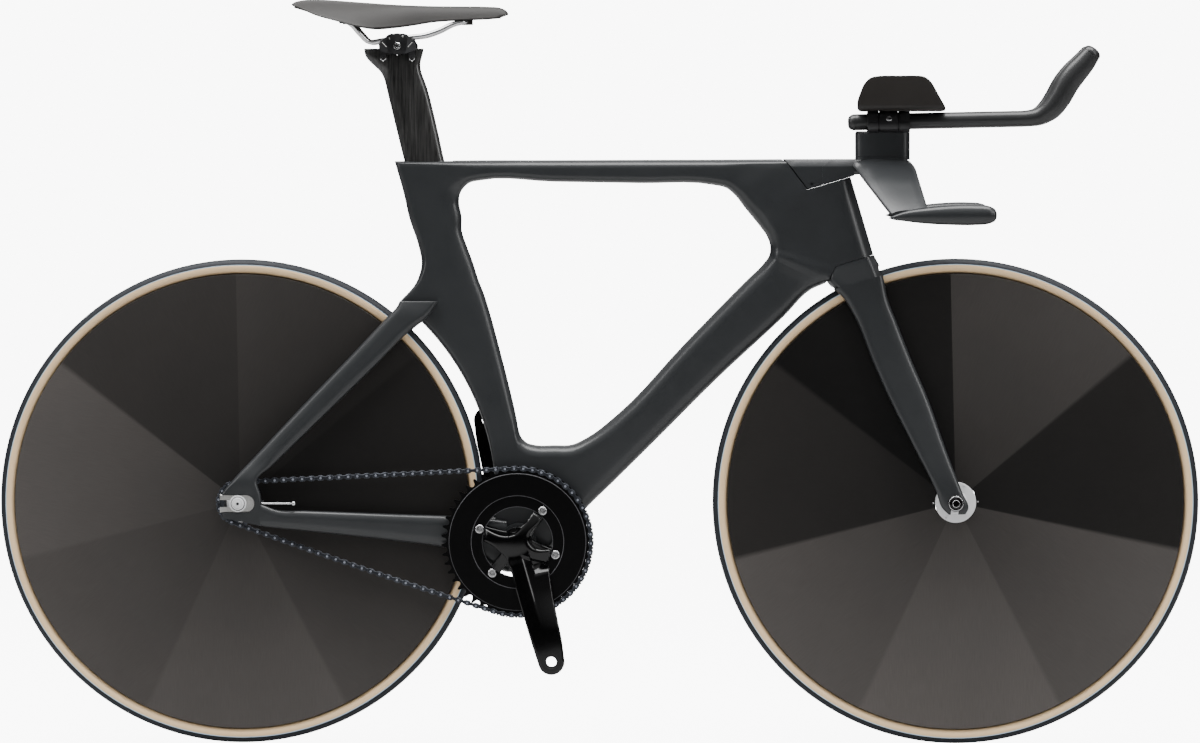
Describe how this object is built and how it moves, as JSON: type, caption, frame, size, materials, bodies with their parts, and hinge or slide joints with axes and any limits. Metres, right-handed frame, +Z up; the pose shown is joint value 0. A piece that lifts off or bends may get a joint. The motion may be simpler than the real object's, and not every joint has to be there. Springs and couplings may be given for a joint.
{
  "type": "track pursuit bicycle",
  "caption": "Aero track bicycle with disc wheels, a fixed chain drive, a deep-tubed carbon frame, a drop-winged base bar and raised arm rests with forward extensions.",
  "frame": {"origin": "middle of the rear axle, where a stand holds the bicycle by both axle bolts; the ground is 334.4 mm below", "axes": "+X forwards, +Y to the rider's left, so the chain is on the -Y side, +Z up"},
  "size_m": [1.6536, 0.406, 1.0266],
  "materials": {
    "satin_carbon_paint": "satin black paint over carbon composite",
    "bare_carbon": "gloss clear coat over carbon weave",
    "disc_carbon": "fine satin carbon weave laid in sectors",
    "gloss_black": "gloss black anodised alloy",
    "silver_alloy": "bright machined metal",
    "dark_steel": "blue-black oxide steel, lightly oiled",
    "tyre_rubber": "tan cotton sidewall with a black tread",
    "black_alloy": "satin black anodised alloy",
    "saddle_cover": "fine-grained dark synthetic leather",
    "foam_pad": "black padded fabric over foam"
  },
  "bodies": {
    "frame": {"main_frame": "satin_carbon_paint", "rear_stay_right": "satin_carbon_paint", "rear_stay_left": "satin_carbon_paint", "dropout_right": "silver_alloy", "dropout_left": "silver_alloy", "tensioner_right": "silver_alloy", "tensioner_left": "silver_alloy", "rear_axle": "silver_alloy", "rear_axle_bolt_right": "silver_alloy", "rear_axle_bolt_left": "silver_alloy", "bb_cup_right": "black_alloy", "bb_cup_left": "black_alloy", "headset_bearing_lower": "silver_alloy", "headset_bearing_upper": "silver_alloy", "seat_wedge": "black_alloy", "chain": "dark_steel"},
    "crankset": {"crank_right": "gloss_black", "crank_left": "gloss_black", "crank_spindle": "black_alloy", "chainring": "gloss_black", "chainring_bolt_1": "silver_alloy", "chainring_bolt_2": "silver_alloy", "chainring_bolt_3": "silver_alloy", "chainring_bolt_4": "silver_alloy"},
    "rear_wheel": {"rear_tyre": "tyre_rubber", "rear_rim": "bare_carbon", "rear_disc_right": "disc_carbon", "rear_disc_left": "disc_carbon", "rear_hub": "silver_alloy", "cog": "dark_steel", "cog_lockring": "black_alloy"},
    "front_wheel": {"front_tyre": "tyre_rubber", "front_rim": "bare_carbon", "front_disc_right": "disc_carbon", "front_disc_left": "disc_carbon", "front_hub": "silver_alloy"},
    "steering": {"fork": "satin_carbon_paint", "front_axle": "silver_alloy", "front_axle_bolt_right": "black_alloy", "front_axle_bolt_left": "black_alloy", "stem_tail": "satin_carbon_paint", "base_bar": "satin_carbon_paint", "riser_right": "satin_carbon_paint", "riser_left": "satin_carbon_paint", "extension_clamp_right": "black_alloy", "extension_clamp_left": "black_alloy", "arm_cup_right": "black_alloy", "arm_cup_left": "black_alloy", "arm_pad_right": "foam_pad", "arm_pad_left": "foam_pad"},
    "extension_right": {"extension_right": "satin_carbon_paint"},
    "extension_left": {"extension_left": "satin_carbon_paint"},
    "seatpost": {"seatpost": "bare_carbon", "clamp_barrel_front": "silver_alloy", "clamp_barrel_rear": "silver_alloy"},
    "saddle_clamp": {"saddle_clamp": "black_alloy", "saddle_clamp_bolt": "silver_alloy"},
    "saddle": {"saddle_cover": "saddle_cover", "saddle_shell": "bare_carbon", "saddle_rails": "silver_alloy"}
  },
  "joints": [
    {"name": "steering_turn", "type": "hinge", "parent": "frame", "child": "steering", "pos_m": [0.84924, 0, 0.33308], "axis": [-0.2823, 0, 0.9593], "range_deg": [-60, 60]},
    {"name": "front_wheel_spin", "type": "hinge", "parent": "steering", "child": "front_wheel", "pos_m": [0.9848, 0, 0], "axis": [0, 1, 0], "continuous": true},
    {"name": "rear_wheel_spin", "type": "hinge", "parent": "frame", "child": "rear_wheel", "pos_m": [0, 0, 0], "axis": [0, 1, 0], "continuous": true, "deforming": ["chain"]},
    {"name": "crank_spin", "type": "hinge", "parent": "frame", "child": "crankset", "pos_m": [0.38305, 0, -0.0538], "axis": [0, 1, 0], "continuous": true, "deforming": ["chain"]},
    {"name": "seatpost_height", "type": "slide", "parent": "frame", "child": "seatpost", "axis": [-0.2504, 0, 0.9681], "range_m": [-0.01, 0.03]},
    {"name": "saddle_tilt", "type": "hinge", "parent": "seatpost", "child": "saddle_clamp", "pos_m": [0.21818, 0, 0.6307], "axis": [0, 1, 0], "range_deg": [-8, 8]},
    {"name": "saddle_fore_aft", "type": "slide", "parent": "saddle_clamp", "child": "saddle", "axis": [0.9936, 0, 0.1132], "range_m": [-0.012, 0.012]},
    {"name": "extension_right_reach", "type": "slide", "parent": "steering", "child": "extension_right", "axis": [0.9998, 0, 0.0192], "range_m": [-0.03, 0.015]},
    {"name": "extension_left_reach", "type": "slide", "parent": "steering", "child": "extension_left", "axis": [0.9998, 0, 0.0192], "range_m": [-0.03, 0.015]}
  ],
  "couplings": [
    {"joint": "crank_spin", "follows": "rear_wheel_spin", "ratio": 0.28}
  ]
}
